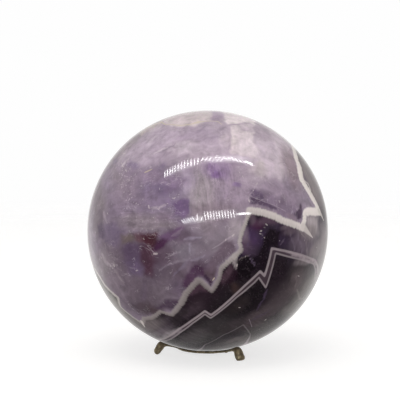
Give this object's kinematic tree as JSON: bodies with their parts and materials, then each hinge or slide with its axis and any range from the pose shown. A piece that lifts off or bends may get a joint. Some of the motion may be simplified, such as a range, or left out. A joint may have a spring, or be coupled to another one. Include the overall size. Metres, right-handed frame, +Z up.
{
  "type": "chevron amethyst sphere",
  "caption": "Polished ball of banded purple and white quartz that rests on a small splayed metal stand with a flat ring under it.",
  "frame": {"origin": "on the surface that the stand stands on, straight under the middle of the sphere", "axes": "+Z up, and -Y towards the front, the side that shows two of the legs and the white bands"},
  "size_m": [0.08, 0.08, 0.0812],
  "materials": {
    "polished_amethyst": "polished",
    "aged_brass": "cast, darkened and lightly worn"
  },
  "bodies": {
    "root": {"sphere": "polished_amethyst", "stand_ring": "aged_brass", "leg_left": "aged_brass", "leg_right": "aged_brass", "leg_back": "aged_brass"}
  },
  "joints": []
}
